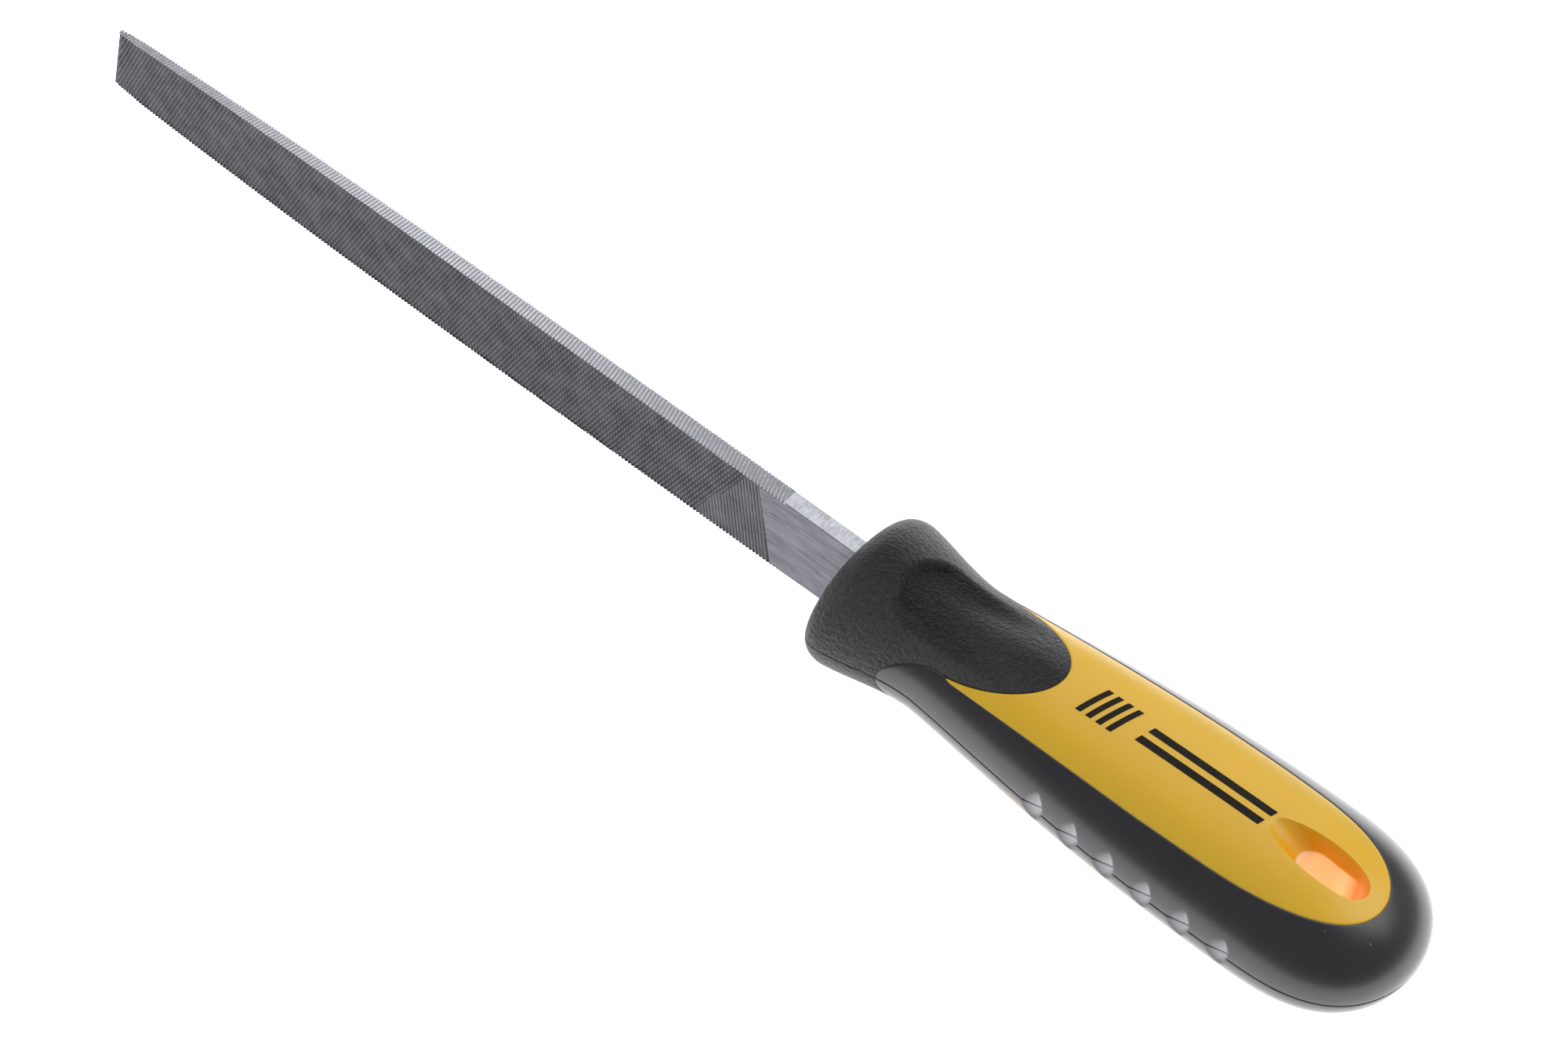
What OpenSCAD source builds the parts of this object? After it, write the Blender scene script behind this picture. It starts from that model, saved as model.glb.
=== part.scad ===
// Flat file of the 150 mm size, in a two-colour moulded handle with a textured finger guard.
// X runs from the tip of the blade to the butt of the handle. The handle's two broad faces
// look up and down, and the blade stands on its narrow edge between them.
// The origin is under the middle of the whole file, on the surface that it lies on.

/* [Blade] */
// Length of blade that stands out of the handle
blade_len = 157.4; // [130:0.2:170]
// How much further the lower corner of the slanted tip reaches than the upper one
tip_slant = 2.4; // [0:0.2:3]
// Width at the widest point
blade_w = 16.3; // [14.5:0.1:17]
// Width at the heel, where the blade enters the handle
heel_w = 15.3; // [14:0.1:16]
// Width at the tip
tip_w = 12.8; // [10:0.1:14]
// Distance from the mouth of the handle to the widest point
widest_at = 83; // [60:1:90]
// Thickness at the heel
blade_t = 3; // [2.6:0.1:3.4]
// Thickness of the ground tip
tip_t = 0.6; // [0.4:0.1:1]
// Length of the parallel stretch at the heel
heel_flat = 27; // [15:1:30]

/* [Tang] */
// Length of the tang behind the shoulders
tang_len = 46; // [35:1:55]
// Width of the tang at the shoulders
tang_root_w = 9; // [7:0.5:10]
// Width of the tang at its point
tang_tip_w = 4.5; // [3:0.5:6]
// Thickness of the shoulders and tang
tang_t = 2.6; // [2.2:0.1:2.6]

/* [Handle] */
// Length of the handle from its mouth to its butt
handle_len = 98.4; // [97:0.2:107]
// Width at the finger guard
guard_w = 28.4; // [26:0.2:31]
// Thickness at the finger guard
guard_t = 21.2; // [20:0.2:23]
// Width at the waist behind the guard
waist_w = 22.8; // [21:0.2:25]
// Thickness at the waist
waist_t = 18.2; // [17:0.2:20]
// Width at the belly
belly_w = 31.2; // [28:0.2:34]
// Thickness at the belly
belly_t = 21.8; // [20:0.2:24]
// Thickness of the soft skin over the hard core
skin = 2.2; // [1.8:0.1:2.6]
// Thickness of the guard's front wall around the blade
front_wall = 3; // [2:0.5:4]

/* [Window] */
// Half width of the core's window at its widest
window_half = 10.5; // [9.5:0.1:11]
// Far end of the window, from the mouth
window_end = 91.2; // [89:0.2:92]
// Half width of the pad that the guard reaches back over the core
pad_half = 8.8; // [8:0.1:9]
// Far end of the pad, from the mouth
pad_end = 36.3; // [33:0.1:39]

/* [Thumb dish] */
// Length of the shallow dish in each pad
dish_len = 25; // [20:1:26]
// Width of the dish
dish_w = 12.5; // [10:0.5:13]
// Depth of the dish
dish_deep = 1; // [0.6:0.1:1.4]

/* [Hanging hole] */
// Width of the slot that goes through the core
slot_w = 5.2; // [4.8:0.1:5.6]
// Length of the slot
slot_len = 10.2; // [9:0.1:11]
// Middle of the slot, from the mouth
slot_at = 83; // [81:0.5:84]
// Width of the sunk rim at each face
rim_w = 6.6; // [6:0.1:7.4]
// Length of the sunk rim towards the blade, from the middle of the slot
rim_reach = 10.4; // [8:0.2:11]
// Depth of the sunk rim
rim_deep = 3; // [2:0.5:4]

/* [Finger notches] */
// Notches along each side
notch_count = 6; // [3:1:7]
// Distance from one notch to the next
notch_pitch = 6.62; // [6:0.02:7]
// Butt side of the first notch, from the mouth
notch_first = 44.7; // [42:0.1:47]
// Radius of a notch's rounded butt side
notch_r = 3.5; // [2.5:0.1:3.8]
// Slope of a notch's floor, in degrees
notch_slope = 14; // [8:1:18]

/* [Fits] */
// Gap all round the blade and tang
fit_gap = 0.05; // [0.02:0.01:0.2]

/* [Hidden] */

tang_step = 0.5; // the blade steps down to the tang this far before the mouth
guard_x = 0; // where the guard is widest, before its front is rounded
waist_x = 18;
belly_x = 73;
guard_front = 4; // length of the guard's rounded front
front_share = 0.82; // the front face's size against the guard's
butt_start = 75; // where the butt starts to close
butt_w_power = 3.2;
butt_t_power = 2.4;
belly_rise = 0.65; // under 1, the belly swells early
stations = 30;
ring_fn = 40;
end_half = 0.4; // the butt closes on a flat this small
window_start = 22.6;
window_front_half = 9.1; // half width of the window where its front points begin
window_widest = 58;
window_power = 4;
flare_reach = 8.8; // how far the pad's sides take to spread round the handle
flare_rise = 3.6;
flare_power = 1.9;
pad_mid = 21; // where the pad is widest
reach = 60; // longer than any piece is wide or thick
shift_x = (blade_len - handle_len) / 2;
shift_z = belly_t / 2;
charcoal = [0.13, 0.13, 0.14];

// Smooth step from 0 to 1
function ease(s) = (1 - cos(180 * min(max(s, 0), 1))) / 2;

// Half size of the handle without its rounded ends
function trunk(x, guard, waist, belly) =
    x < waist_x
    ? guard + (waist - guard) * ease((x - guard_x) / (waist_x - guard_x))
    : waist + (belly - waist) * ease(pow(min((x - waist_x) / (belly_x - waist_x), 1), belly_rise));

// How much the rounded front draws the handle in
function front_share_at(x) =
    x >= guard_front ? 1 : front_share + (1 - front_share) * sqrt(1 - pow(1 - x / guard_front, 2));

// How much the rounded butt draws the handle in
function butt_share_at(x, length, power) =
    x <= butt_start ? 1 : sqrt(max(1 - pow((x - butt_start) / (length - butt_start), power), 0));

function half_w(x, inset) =
    max((trunk(x, guard_w, waist_w, belly_w) / 2 - inset) * front_share_at(x)
        * butt_share_at(x, handle_len - inset, butt_w_power), end_half);

function half_t(x, inset) =
    max((trunk(x, guard_t, waist_t, belly_t) / 2 - inset) * front_share_at(x)
        * butt_share_at(x, handle_len - inset, butt_t_power), end_half);

// Half width of the blade's broad face at x, which is negative towards the tip
function blade_half(x) =
    let (u = x + widest_at)
    (u < 0
     ? blade_w - (blade_w - tip_w) * pow(-u / (blade_len - widest_at), 2.2)
     : blade_w - (blade_w - heel_w) * pow(u / widest_at, 2)) / 2;

// Half width of the window at x
function window_half_at(x) =
    x > window_widest
    ? window_half * sqrt(max(1 - pow((x - window_widest) / (window_end - window_widest), window_power), 0))
    : window_half - (window_half - window_front_half)
        * pow((window_widest - x) / (window_widest - window_start), 1.3);

// Half width of the guard's pad, past its middle and before it
function pad_half_at(x) =
    x > pad_mid
    ? pad_half * sqrt(max(1 - pow((x - pad_mid) / (pad_end - pad_mid), 2), 0))
    : pad_half + flare_rise * pow((pad_mid - x) / flare_reach, flare_power);

// Both sides of an outline whose half width is given point by point
function both_sides(points) =
    concat(points, [for (i = [len(points) - 1:-1:0]) if (points[i][1] > 0) [points[i][0], -points[i][1]]]);

// The blade from the mouth's side, and its shoulders and tang
module broad_outline(gap) {
    steps = 16;
    blade = [for (i = [0:steps]) let (x = -blade_len + i * blade_len / steps) [x, blade_half(x) + gap]];
    tang = [
        [front_wall, heel_w / 2 + gap],
        [front_wall, tang_root_w / 2 + gap],
        [front_wall + tang_len + gap, tang_tip_w / 2 + gap]
    ];
    difference() {
        polygon(both_sides(concat(blade, tang)));
        polygon([
            [-blade_len - 1, -tip_w / 2],
            [-blade_len, -tip_w / 2],
            [-blade_len + tip_slant, tip_w / 2],
            [-blade_len + tip_slant, blade_w],
            [-blade_len - 1, blade_w]
        ]);
    }
}

// The blade's thickness along its length, seen on its narrow edge
module edge_outline(gap) {
    halves = [
        [-blade_len, tip_t / 2],
        [-blade_len + 7, blade_t * 0.24],
        [-blade_len + 48, blade_t * 0.35],
        [-blade_len + 96, blade_t * 0.44],
        [-heel_flat, blade_t / 2],
        [-tang_step, blade_t / 2],
        [-tang_step, tang_t / 2],
        [front_wall + tang_len + gap, tang_t / 2]
    ];
    polygon(both_sides([for (p = halves) [p[0], p[1] + gap]]));
}

module blade_solid(gap) {
    intersection() {
        rotate([90, 0, 0]) linear_extrude(height = reach, center = true) broad_outline(gap);
        linear_extrude(height = reach, center = true) edge_outline(gap);
    }
}

// One ring of points round the handle at x
function ring(x, inset) =
    let (w = half_w(x, inset), t = half_t(x, inset))
    [for (k = [0:ring_fn - 1]) [x, w * cos(360 * k / ring_fn), t * sin(360 * k / ring_fn)]];

// Faces of a closed segment between two rings
ring_faces = concat(
    [[for (k = [ring_fn - 1:-1:0]) k], [for (k = [0:ring_fn - 1]) ring_fn + k]],
    [for (k = [0:ring_fn - 1]) let (m = (k + 1) % ring_fn) [k, m, ring_fn + m, ring_fn + k]]
);

// The handle's whole form, drawn in by an inset all round
module handle_form(inset) {
    xs = [for (i = [0:stations]) (handle_len - inset) * ease(i / stations)];
    for (i = [0:stations - 1])
        hull() polyhedron(concat(ring(xs[i], inset), ring(xs[i + 1], inset)), ring_faces);
}

// The hard core's buried part
module buried_core() {
    intersection() {
        handle_form(skin);
        translate([front_wall, -reach / 2, -reach / 2]) cube([handle_len, reach, reach]);
    }
}

// What the guard takes of the handle, seen from above
module guard_outline() {
    start = pad_mid - 15;
    steps = 28;
    points = [
        for (i = [0:steps - 1])
            let (x = start + (pad_end - start) * sin(90 * i / steps))
            [x, pad_half_at(x)]
    ];
    polygon(both_sides(concat([[-1, reach / 2], [start, reach / 2]], points, [[pad_end, 0]])));
}

// The window in the soft grip, seen from above, with the guard's pad over its front
module window_outline() {
    steps = 32;
    points = [
        for (i = [0:steps - 1])
            let (x = window_start + (window_end - window_start) * sin(90 * i / steps))
            [x, window_half_at(x)]
    ];
    polygon(both_sides(concat(points, [[window_end, 0]])));
}

// An outline taken through the handle from face to face
module through() {
    linear_extrude(height = reach, center = true) children();
}

// A shallow thumb dish on the upper face
module thumb_dish() {
    mid = 20.5;
    top = half_t(mid, 0);
    rise = 1.2;
    translate([mid, 0, top + rise])
        scale([dish_len / 1.6, dish_w / 1.6, dish_deep + rise]) sphere(r = 1, $fn = 40);
}

// The slot, and the sunk rim at the upper face
module hanging_slot() {
    end = slot_len / 2 - slot_w / 2;
    linear_extrude(height = reach, center = true)
        hull() {
            translate([slot_at - end, 0]) circle(d = slot_w, $fn = 32);
            translate([slot_at + end, 0]) circle(d = slot_w, $fn = 32);
        }
}

module sunk_rim() {
    top = half_t(slot_at, 0);
    end = slot_len / 2 - slot_w / 2;
    hull() {
        translate([slot_at - end, 0, top - rim_deep]) cylinder(d = slot_w, h = 0.1, $fn = 32);
        translate([slot_at + end, 0, top - rim_deep]) cylinder(d = slot_w, h = 0.1, $fn = 32);
        translate([slot_at - rim_reach + rim_w / 2, 0, top + 0.4]) cylinder(d = rim_w, h = 2, $fn = 32);
        translate([slot_at + end + 0.3, 0, top + 0.4]) cylinder(d = rim_w, h = 2, $fn = 32);
    }
}

// A notch in the +Y side, cut by a tilted disc, so its floor slopes down to a rounded wall
module finger_notch(x_end) {
    mid = x_end - notch_r;
    translate([mid, half_w(mid, 0), 0])
        rotate([0, 0, -notch_slope]) rotate([-90, 0, 0]) cylinder(r = notch_r, h = 6, $fn = 32);
}

module file_blade() {
    color("slategray") blade_solid(0);
}

module handle_core() {
    color([0.87, 0.66, 0.2])
    difference() {
        union() {
            intersection() {
                handle_form(0);
                through() difference() {
                    window_outline();
                    guard_outline();
                }
            }
            buried_core();
        }
        blade_solid(fit_gap);
        hanging_slot();
        sunk_rim();
        mirror([0, 0, 1]) sunk_rim();
    }
}

module soft_grip() {
    color(charcoal)
    difference() {
        handle_form(0);
        through() {
            guard_outline();
            window_outline();
        }
        buried_core();
        for (i = [0:notch_count - 1]) {
            finger_notch(notch_first + i * notch_pitch);
            mirror([0, 1, 0]) finger_notch(notch_first + i * notch_pitch);
        }
    }
}

module thumb_collar() {
    color(charcoal * 0.8)
    difference() {
        intersection() {
            handle_form(0);
            through() guard_outline();
        }
        buried_core();
        blade_solid(fit_gap);
        thumb_dish();
        mirror([0, 0, 1]) thumb_dish();
    }
}

module place() {
    translate([shift_x, 0, shift_z]) children();
}

place() file_blade();
place() handle_core();
place() soft_grip();
place() thumb_collar();
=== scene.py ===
from math import cos, radians, sin, tan

import bmesh
import bpy
import numpy as np
from mathutils import Matrix, Vector


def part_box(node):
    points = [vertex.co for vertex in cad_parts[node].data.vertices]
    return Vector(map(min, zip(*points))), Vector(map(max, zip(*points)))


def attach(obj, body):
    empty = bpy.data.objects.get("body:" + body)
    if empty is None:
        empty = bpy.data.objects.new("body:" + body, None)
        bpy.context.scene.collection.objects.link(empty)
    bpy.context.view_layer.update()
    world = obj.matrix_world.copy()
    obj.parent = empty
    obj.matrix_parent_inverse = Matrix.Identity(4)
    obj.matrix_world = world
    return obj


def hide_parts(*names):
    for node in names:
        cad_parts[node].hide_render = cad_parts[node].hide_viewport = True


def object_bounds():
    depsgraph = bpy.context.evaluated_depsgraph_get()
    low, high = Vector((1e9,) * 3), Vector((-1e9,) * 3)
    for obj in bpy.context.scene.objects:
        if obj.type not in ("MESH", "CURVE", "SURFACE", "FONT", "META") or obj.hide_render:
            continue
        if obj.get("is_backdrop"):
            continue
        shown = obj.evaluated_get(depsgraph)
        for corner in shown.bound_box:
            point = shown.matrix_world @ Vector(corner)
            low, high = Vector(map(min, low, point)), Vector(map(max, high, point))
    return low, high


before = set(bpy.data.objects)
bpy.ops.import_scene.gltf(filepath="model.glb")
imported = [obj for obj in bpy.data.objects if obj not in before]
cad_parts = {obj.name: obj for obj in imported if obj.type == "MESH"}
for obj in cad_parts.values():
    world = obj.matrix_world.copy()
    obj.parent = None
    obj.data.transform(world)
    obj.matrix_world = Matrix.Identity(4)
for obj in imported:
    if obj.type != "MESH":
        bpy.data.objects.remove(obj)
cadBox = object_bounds()
mm = 0.001


# Shapes are worked out in millimetres from the handle's mouth: x to the butt, y across, z up,
# with y and z counted from the middle of the handle. atPlace() brings them to the frame.

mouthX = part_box("thumb_collar")[0].x
middleZ = (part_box("handle_core")[0].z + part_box("handle_core")[1].z) / 2
handleLength = (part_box("soft_grip")[1].x - mouthX) / mm
bladeLength = (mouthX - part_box("file_blade")[0].x) / mm
shift = np.array([mouthX, 0, middleZ])


def atPlace(points):
    return np.asarray(points, float) * mm + shift


def ease(share):
    return (1 - np.cos(np.pi * np.clip(share, 0, 1))) / 2


# outline of the handle and of the parts that show on its face
handleForm = {
    "guard": (28.4, 21.2),       # width and thickness
    "waist": (22.8, 18.2),
    "belly": (31.2, 21.8),
    "guardAt": 0,
    "waistAt": 18,
    "bellyAt": 73,
    "bellyRise": 0.65,           # under 1, the belly swells early
    "frontLength": 4,            # rounded front of the guard
    "frontShare": 0.82,
    "buttStart": 75,
    "buttPower": (3.2, 2.4),
    "skin": 2.2,                 # soft skin over the hard core
    "frontWall": 3,
    "window": 10.5,              # half width of the yellow window
    "windowFront": 9.1,
    "windowFrom": 22.6,
    "windowWidest": 58,
    "windowTo": 91.2,
    "pad": 8.8,                  # half width of the guard's pad on the window
    "padMiddle": 21,
    "padTo": 36.3,
    "flare": (8.8, 3.6, 1.9),    # reach, rise and power of the pad's spread to the guard
    "parting": (0.2, 0.16),      # half width and depth of the line where the mould's halves met
}


def halfSize(x, axis, inset=0.0):
    # half width (axis 0) or half thickness (axis 1) of the handle at x
    form = handleForm
    guard, waist, belly = (form[key][axis] for key in ("guard", "waist", "belly"))
    toWaist = ease((x - form["guardAt"]) / (form["waistAt"] - form["guardAt"]))
    along = np.clip((x - form["waistAt"]) / (form["bellyAt"] - form["waistAt"]), 0, 1)
    toBelly = ease(along ** form["bellyRise"])
    narrowing = guard + (waist - guard) * toWaist
    swelling = waist + (belly - waist) * toBelly
    trunk = np.where(x < form["waistAt"], narrowing, swelling)
    opening = np.clip(1 - x / form["frontLength"], 0, 1)
    front = form["frontShare"] + (1 - form["frontShare"]) * np.sqrt(1 - opening ** 2)
    closing = np.clip((x - form["buttStart"]) / (handleLength - inset - form["buttStart"]), 0, 1)
    butt = np.sqrt(1 - closing ** form["buttPower"][axis])
    return (trunk / 2 - inset) * front * butt


def windowHalf(x):
    form = handleForm
    past = np.clip((x - form["windowWidest"]) / (form["windowTo"] - form["windowWidest"]), 0, 1)
    before = np.clip((form["windowWidest"] - x) / (form["windowWidest"] - form["windowFrom"]), 0, None)
    narrowing = form["windowFront"] + (form["window"] - form["windowFront"]) * (1 - before ** 1.3)
    return np.where(x > form["windowWidest"], form["window"] * np.sqrt(1 - past ** 4), narrowing)


def padHalf(x):
    form = handleForm
    reach, rise, power = form["flare"]
    past = np.clip((x - form["padMiddle"]) / (form["padTo"] - form["padMiddle"]), 0, 1)
    before = np.clip((form["padMiddle"] - x) / reach, 0, None)
    rounded = form["pad"] * np.sqrt(1 - past ** 2)
    spreading = form["pad"] + rise * before ** power
    return np.where(x > form["padMiddle"], rounded, spreading)


def gripEdge(x):
    # half width of all that shows between the two sides of the soft grip
    pad = np.where(x < handleForm["padTo"], padHalf(x), 0)
    window = np.where((x > handleForm["windowFrom"]) & (x < handleForm["windowTo"]), windowHalf(x), 0)
    return np.maximum(pad, window)


def slopeOf(outline, x):
    return (outline(x + 0.02) - outline(x - 0.02)) / 0.04


def onSkin(x, angle, inset=0.0):
    # a point of the handle's skin; angle 0 is the +y side and 90 degrees the top
    return np.stack([
        x + 0 * angle,
        halfSize(x, 0, inset) * np.cos(angle),
        halfSize(x, 1, inset) * np.sin(angle),
    ], -1)


def skinNormal(x, angle):
    wide, thick = halfSize(x, 0), halfSize(x, 1)
    slope = (halfSize(x + 0.1, 0) - halfSize(x - 0.1, 0)) / 0.2
    normal = np.stack([-slope + 0 * angle, np.cos(angle), np.sin(angle) * wide / np.maximum(thick, 0.1)], -1)
    return normal / np.linalg.norm(normal, axis=-1, keepdims=True)


# the grip begins where the guard has narrowed away from the handle's sides
gripFrom = min(x for x in np.arange(6, 21, 0.02) if padHalf(x) < halfSize(x, 0))


def gridFaces(rows, columns, start):
    ids = np.arange(rows * columns).reshape(rows, columns) + start
    return np.stack([ids[:-1, :-1], ids[1:, :-1], ids[1:, 1:], ids[:-1, 1:]], -1).reshape(-1, 4)


def joinSheets(sheets):
    # sheets are (outer points, inner points) grids of shape rows x columns x 3
    outers, inners, faces, count = [], [], [], 0
    for outer, inner in sheets:
        rows, columns = outer.shape[:2]
        faces.append(gridFaces(rows, columns, count))
        outers.append(outer.reshape(-1, 3))
        inners.append(inner.reshape(-1, 3))
        count += rows * columns
    return np.concatenate(outers), np.concatenate(inners), np.concatenate(faces)


def newObject(name, mesh):
    piece = bpy.data.objects.new(name, mesh)
    bpy.context.scene.collection.objects.link(piece)
    return piece


def bmeshPiece(name, form, sharpAngle=38):
    bmesh.ops.recalc_face_normals(form, faces=form.faces)
    mesh = bpy.data.meshes.new(name)
    form.to_mesh(mesh)
    form.free()
    smoothShade(mesh, sharpAngle)
    return newObject(name, mesh)


def smoothShade(mesh, sharpAngle=38):
    mesh.polygons.foreach_set("use_smooth", np.ones(len(mesh.polygons), bool))
    mesh.set_sharp_from_angle(angle=radians(sharpAngle))


def closedShell(name, sheets):
    # a wall between an outer and an inner surface, closed round every open edge
    outer, inner, faces = joinSheets(sheets)
    outer, inner = atPlace(outer), atPlace(inner)
    form = bmesh.new()
    innerPlace = form.verts.layers.float_vector.new("inner")
    corners = [form.verts.new(point) for point in outer]
    for corner, point in zip(corners, inner):
        corner[innerPlace] = point
    for face in faces:
        form.faces.new([corners[i] for i in face])
    bmesh.ops.remove_doubles(form, verts=form.verts, dist=2e-6)
    outerFaces = list(form.faces)
    openEdges = [edge for edge in form.edges if edge.is_boundary]
    partner = {corner: form.verts.new(corner[innerPlace]) for corner in list(form.verts)}
    for face in outerFaces:
        form.faces.new([partner[corner] for corner in reversed(face.verts)])
    for edge in openEdges:
        a, b = edge.verts
        form.faces.new([a, b, partner[b], partner[a]])
    bmesh.ops.remove_doubles(form, verts=form.verts, dist=1e-6)
    form.verts.layers.float_vector.remove(form.verts.layers.float_vector["inner"])
    return bmeshPiece(name, form)


def loftSolid(name, rings, sharpAngle=38):
    # a closed solid through rings of points, capped at both ends
    rings = [atPlace(ring) for ring in rings]
    form = bmesh.new()
    loops = [[form.verts.new(point) for point in ring] for ring in rings]
    count = len(loops[0])
    for low, high in zip(loops, loops[1:]):
        for i in range(count):
            j = (i + 1) % count
            form.faces.new([low[i], low[j], high[j], high[i]])
    form.faces.new(list(reversed(loops[0])))
    form.faces.new(loops[-1])
    return bmeshPiece(name, form, sharpAngle)


def combine(piece, other, operation):
    change = piece.modifiers.new(operation.lower(), "BOOLEAN")
    change.operation = operation
    change.solver = "EXACT"
    change.object = other
    applyModifiers(piece)
    bpy.data.objects.remove(other)


def applyModifiers(piece):
    bpy.context.view_layer.update()
    evaluated = piece.evaluated_get(bpy.context.evaluated_depsgraph_get())
    mesh = bpy.data.meshes.new_from_object(evaluated)
    piece.modifiers.clear()
    piece.data = mesh
    mesh.name = piece.name


def pointsOf(piece):
    # x, y and z of every vertex, in millimetres from the mouth
    points = np.empty(len(piece.data.vertices) * 3, np.float32)
    piece.data.vertices.foreach_get("co", points)
    return ((points.reshape(-1, 3) - shift) / mm).T


def writeValues(piece, name, values):
    layer = piece.data.attributes.new(name, "FLOAT", "POINT")
    layer.data.foreach_set("value", np.asarray(values, np.float32))


def spread(start, stop, step):
    return np.linspace(start, stop, max(2, int(round(abs(stop - start) / step)) + 1))


def stations(*stretches):
    # all the rows of a sheet in order, each once
    return np.unique(np.concatenate(stretches))


def closingStations(start, stop, count):
    # closer together towards the stop, where an outline turns across
    return start + (stop - start) * np.sin(np.linspace(0, np.pi / 2, count))


class Wire:
    # one output socket; sums on it add Math nodes to its tree
    def __init__(self, tree, socket):
        self.tree, self.socket = tree, socket

    def math(self, operation, *terms):
        node = self.tree.nodes.new("ShaderNodeMath")
        node.operation = operation
        for entry, term in zip(node.inputs, terms):
            plug(self.tree, entry, term)
        return Wire(self.tree, node.outputs[0])

    def __add__(self, other):
        return self.math("ADD", self, other)

    def __radd__(self, other):
        return self.math("ADD", other, self)

    def __sub__(self, other):
        return self.math("SUBTRACT", self, other)

    def __rsub__(self, other):
        return self.math("SUBTRACT", other, self)

    def __mul__(self, other):
        return self.math("MULTIPLY", self, other)

    def __rmul__(self, other):
        return self.math("MULTIPLY", other, self)

    def __truediv__(self, other):
        return self.math("DIVIDE", self, other)

    def __neg__(self):
        return self.math("MULTIPLY", self, -1.0)

    def __gt__(self, other):
        return self.math("GREATER_THAN", self, other)

    def __lt__(self, other):
        return self.math("LESS_THAN", self, other)

    def __abs__(self):
        return self.math("ABSOLUTE", self)

    def __round__(self):
        return self.math("ROUND", self)

    def atLeast(self, other):
        return self.math("MAXIMUM", self, other)

    def atMost(self, other):
        return self.math("MINIMUM", self, other)

    def held(self):
        return self.atLeast(0.0).atMost(1.0)

    def between(self, low, high):
        return ((self - low) / (high - low)).held()


def plug(tree, entry, value):
    if isinstance(value, Wire):
        tree.links.new(value.socket, entry)
    elif value is not None:
        entry.default_value = value


class Bench:
    # adds nodes to one tree
    def __init__(self, tree):
        self.tree = tree

    def make(self, kind, settings=None, inputs=None, out=0):
        node = self.tree.nodes.new(kind)
        for key, value in (settings or {}).items():
            setattr(node, key, value)
        for key, value in (inputs or {}).items():
            plug(self.tree, node.inputs[key], value)
        return Wire(self.tree, node.outputs[out])

    def mix(self, share, first, second):
        return self.make("ShaderNodeMix", {"data_type": "RGBA"}, {0: share, 6: first, 7: second}, 2)

    def apart(self, vector):
        node = self.tree.nodes.new("ShaderNodeSeparateXYZ")
        plug(self.tree, node.inputs[0], vector)
        return [Wire(self.tree, node.outputs[i]) for i in range(3)]

    def together(self, x, y, z):
        return self.make("ShaderNodeCombineXYZ", None, {0: x, 1: y, 2: z})

    def noise(self, vector, scale, detail=3.0, roughness=0.55):
        inputs = {"Vector": vector, "Scale": scale, "Detail": detail, "Roughness": roughness}
        return self.make("ShaderNodeTexNoise", None, inputs, "Fac")

    def bump(self, height, distance):
        inputs = {"Height": height, "Distance": distance, "Strength": 1.0}
        return self.make("ShaderNodeBump", None, inputs)

    def attribute(self, name):
        return self.make("ShaderNodeAttribute", {"attribute_name": name}, None, "Fac")

    def join(self, parts):
        node = self.tree.nodes.new("GeometryNodeJoinGeometry")
        for part in parts:
            plug(self.tree, node.inputs[0], part)
        return Wire(self.tree, node.outputs[0])

    def move(self, geometry, way, place):
        # way is Position, or Offset for a step from where the points are
        return self.make("GeometryNodeSetPosition", None, {"Geometry": geometry, way: place})

    def finish(self, geometry, material):
        return self.make("GeometryNodeSetMaterial", None, {"Geometry": geometry, "Material": material})


def startMaterial(name):
    # the material, its bench and the object's coordinates in millimetres from the mouth
    material = bpy.data.materials.new(name)
    material.use_nodes = True
    tree = material.node_tree
    tree.nodes.clear()
    bench = Bench(tree)
    place = bench.make("ShaderNodeTexCoord", None, None, "Object")
    x, y, z = bench.apart(place)
    return material, bench, (x * 1000 - mouthX / mm, y * 1000, z * 1000 - middleZ / mm)


def finishMaterial(bench, surface):
    tree = bench.tree
    shader = tree.nodes.new("ShaderNodeBsdfPrincipled")
    for key, value in surface.items():
        plug(tree, shader.inputs[key], value)
    output = tree.nodes.new("ShaderNodeOutputMaterial")
    tree.links.new(shader.outputs[0], output.inputs[0])


def colour(red, green, blue, share=1.0):
    # a linear colour from values of 0 to 255; a share under 1 makes it darker
    values = [value * share for value in (red, green, blue)]
    linear = [((v / 255 + 0.055) / 1.055) ** 2.4 if v > 10 else v / 3294 for v in values]
    return (*linear, 1.0)


def dust(bench, spot, perMillimetre=0.55, size=0.16):
    # a few pale specks
    inputs = {"Vector": spot, "Scale": perMillimetre, "Randomness": 1.0}
    nearest = bench.make("ShaderNodeTexVoronoi", {"feature": "F1"}, inputs, "Distance")
    lottery = bench.make("ShaderNodeTexVoronoi", {"feature": "F1"}, inputs, "Color")
    chosen = bench.apart(lottery)[0] > 0.93
    return ((size * perMillimetre - nearest) * 12).held() * chosen


# finishes of the steel, with colours from 0 to 255
steelLook = {
    "toothed": (55, 54, 59),     # broad faces, between the teeth; darker there as painted shade
    "wearAndPaintedLight": (112, 111, 117),     # crests, lighter as painted highlight
    "heel": (120, 119, 127),
    # painted highlight: the narrow edges get a much paler steel than the broad faces
    "edge": (210, 211, 218),
    "darkShares": {"toothed": 0.42, "heel": 0.56, "edge": 0.68},
    "roughness": {"toothed": 0.46, "heel": 0.42, "edge": 0.34},
    "scratch": (7.0, 0.17),      # length and width of the scratches on the heel
}


def steelColours(part, light):
    return colour(*steelLook[part], steelLook["darkShares"][part]), colour(*steelLook[light])


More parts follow.
